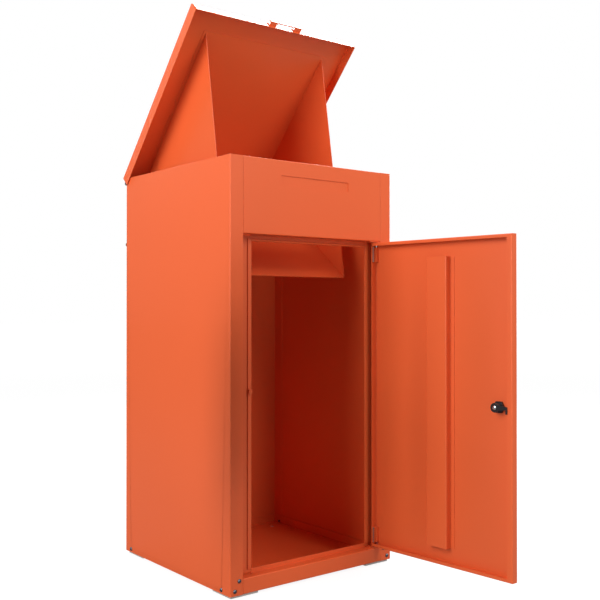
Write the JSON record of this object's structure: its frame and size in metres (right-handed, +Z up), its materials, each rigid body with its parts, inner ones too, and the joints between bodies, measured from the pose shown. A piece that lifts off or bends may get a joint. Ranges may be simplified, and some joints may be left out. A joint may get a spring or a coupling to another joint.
{
  "type": "parcel drop box",
  "caption": "Upright sheet-steel parcel drop box with a tilting lid and hopper, a letter flap, a lockable front door and foot plates.",
  "frame": {"origin": "on the ground, in the middle of the foot plates' four anchor holes, which is under the middle of the cabinet", "axes": "+X to the right seen from the front, -Y out of the front, +Z up"},
  "size_m": [0.508, 0.9338, 1.3885],
  "materials": {
    "cabinet_paint": "semi-gloss powder coat",
    "frame_paint": "semi-gloss powder coat",
    "door_paint": "semi-gloss powder coat",
    "lid_paint": "semi-gloss powder coat",
    "hopper_paint": "semi-gloss powder coat",
    "foot_plate": "zinc plated",
    "screw": "dark zinc",
    "buffer_rubber": "matt",
    "black_hardware": "black",
    "hinge_steel": "satin",
    "pin_steel": "ground",
    "lock_black": "gloss black",
    "lock_chrome": "bright"
  },
  "bodies": {
    "cabinet": {"left_side_panel": "cabinet_paint", "right_side_panel": "cabinet_paint", "back_panel": "cabinet_paint", "front_fascia": "cabinet_paint", "front_sill": "cabinet_paint", "floor_panel": "cabinet_paint", "foot_plates": "foot_plate", "frame_left": "frame_paint", "frame_right": "frame_paint", "frame_top": "frame_paint", "frame_bottom": "frame_paint", "lock_keeper": "frame_paint", "corner_screws": "screw", "wall_buffers": "buffer_rubber", "buffer_screws": "screw", "flap_brackets": "hinge_steel", "flap_pin": "pin_steel", "upper_pivot_bracket": "frame_paint", "lower_pivot_bracket": "frame_paint", "upper_pivot_pin": "pin_steel", "lower_pivot_pin": "pin_steel", "lid_hinge_fixed_leaves": "hinge_steel", "lid_hinge_pins": "black_hardware", "lid_hinge_fixed_screws": "screw"},
    "lid": {"lid_hinge_moving_leaves": "hinge_steel", "lid_hinge_lid_screws": "black_hardware", "lid_panel": "lid_paint", "hopper_mount_plate": "hopper_paint", "hopper_left_cheek": "hopper_paint", "hopper_right_cheek": "hopper_paint", "hopper_floor": "hopper_paint", "lid_handle": "lid_paint", "handle_rivets": "lid_paint"},
    "door": {"door_panel": "door_paint", "door_stiffener": "door_paint", "upper_hinge_block": "door_paint", "lower_hinge_block": "door_paint", "upper_hinge_strip": "hinge_steel", "lower_hinge_strip": "hinge_steel", "lock_housing": "lock_black", "lock_nut": "lock_black"},
    "lock": {"lock_plug": "lock_chrome", "lock_cam": "lock_black", "cam_screw": "lock_chrome"},
    "flap": {"letter_flap": "cabinet_paint"}
  },
  "joints": [
    {"name": "lid_hinge", "type": "hinge", "parent": "cabinet", "child": "lid", "pos_m": [0, 0.2555, 0.993], "axis": [-1, 0, 0], "range_deg": [-47.3, 0]},
    {"name": "door_hinge", "type": "hinge", "parent": "cabinet", "child": "door", "pos_m": [0.2065, -0.245, 0.435], "axis": [0, 0, 1], "range_deg": [-94.2, 14]},
    {"name": "lock_turn", "type": "hinge", "parent": "door", "child": "lock", "pos_m": [0.2289, -0.61836, 0.433], "axis": [-0.9973, -0.0732, 0], "range_deg": [0, 90]},
    {"name": "flap_hinge", "type": "hinge", "parent": "cabinet", "child": "flap", "pos_m": [0, -0.244, 0.979], "axis": [1, 0, 0], "range_deg": [0, 75]}
  ]
}
